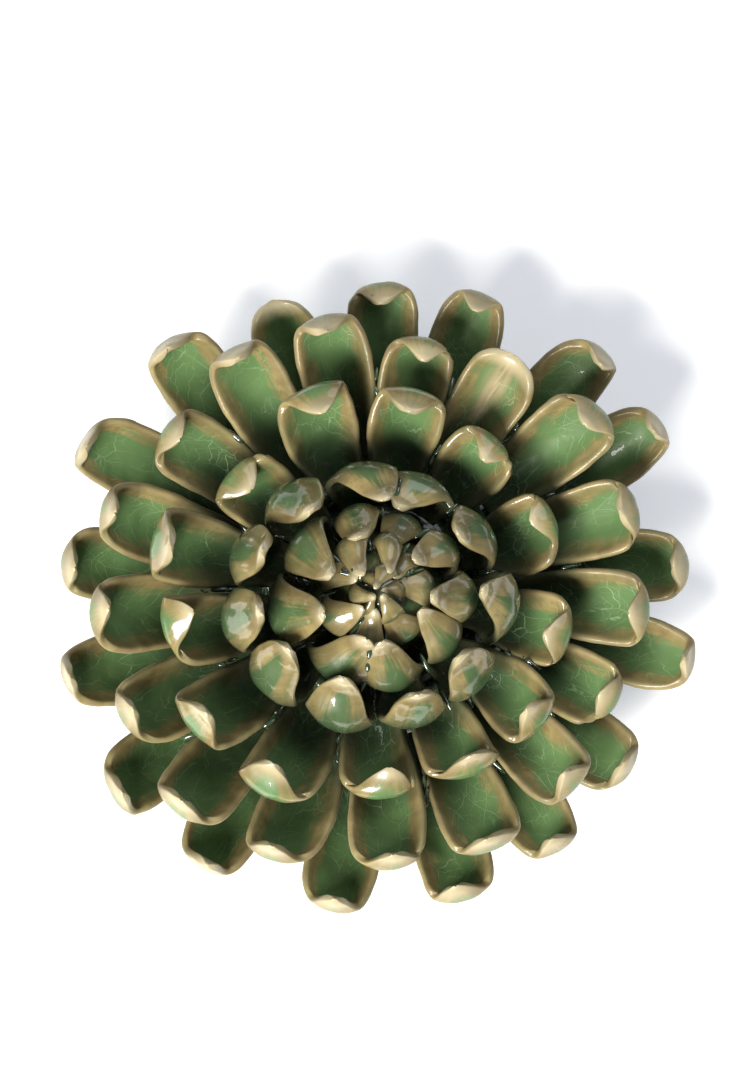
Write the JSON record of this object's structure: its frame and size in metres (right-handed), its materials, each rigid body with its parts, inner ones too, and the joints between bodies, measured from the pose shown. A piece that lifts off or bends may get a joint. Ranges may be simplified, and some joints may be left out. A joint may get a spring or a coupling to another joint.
{
  "type": "ceramic flower ornament",
  "caption": "Glazed ceramic chrysanthemum with rings of cupped, hooked petals round a closed bud, for a table or a wall.",
  "frame": {"origin": "centre of the flat back, on the flower's own axis", "axes": "+Z is the flower's axis, out of the back and through the bud; +Y is up when it hangs on a wall; +X is to its right, seen from the front"},
  "size_m": [0.1499, 0.1492, 0.0685],
  "materials": {
    "green_glaze": "glossy crackle glaze, green where it pools and tan at the rims",
    "olive_glaze": "glossy crackle glaze, mostly tan over the bud's folds",
    "bare_clay": "matt, bare fired clay on the back, with glaze on the dome under the petals"
  },
  "bodies": {
    "root": {"base": "bare_clay", "centre_bud": "olive_glaze", "petal_outer_01": "green_glaze", "petal_outer_02": "green_glaze", "petal_outer_03": "green_glaze", "petal_outer_04": "green_glaze", "petal_outer_05": "green_glaze", "petal_outer_06": "green_glaze", "petal_outer_07": "green_glaze", "petal_outer_08": "green_glaze", "petal_outer_09": "green_glaze", "petal_outer_10": "green_glaze", "petal_outer_11": "green_glaze", "petal_outer_12": "green_glaze", "petal_outer_13": "green_glaze", "petal_outer_14": "green_glaze", "petal_outer_15": "green_glaze", "petal_outer_16": "green_glaze", "petal_outer_17": "green_glaze", "petal_second_01": "green_glaze", "petal_second_02": "green_glaze", "petal_second_03": "green_glaze", "petal_second_04": "green_glaze", "petal_second_05": "green_glaze", "petal_second_06": "green_glaze", "petal_second_07": "green_glaze", "petal_second_08": "green_glaze", "petal_second_09": "green_glaze", "petal_second_10": "green_glaze", "petal_second_11": "green_glaze", "petal_second_12": "green_glaze", "petal_second_13": "green_glaze", "petal_second_14": "green_glaze", "petal_second_15": "green_glaze", "petal_second_16": "green_glaze", "petal_second_17": "green_glaze", "petal_third_01": "green_glaze", "petal_third_02": "green_glaze", "petal_third_03": "green_glaze", "petal_third_04": "green_glaze", "petal_third_05": "green_glaze", "petal_third_06": "green_glaze", "petal_third_07": "green_glaze", "petal_third_08": "green_glaze", "petal_third_09": "green_glaze", "petal_third_10": "green_glaze", "petal_third_11": "green_glaze", "petal_third_12": "green_glaze", "petal_third_13": "green_glaze", "petal_inner_01": "green_glaze", "petal_inner_02": "green_glaze", "petal_inner_03": "green_glaze", "petal_inner_04": "green_glaze", "petal_inner_05": "green_glaze", "petal_inner_06": "green_glaze", "petal_inner_07": "green_glaze", "petal_inner_08": "green_glaze", "petal_inner_09": "green_glaze", "petal_inner_10": "green_glaze", "petal_inner_11": "green_glaze"}
  },
  "joints": []
}
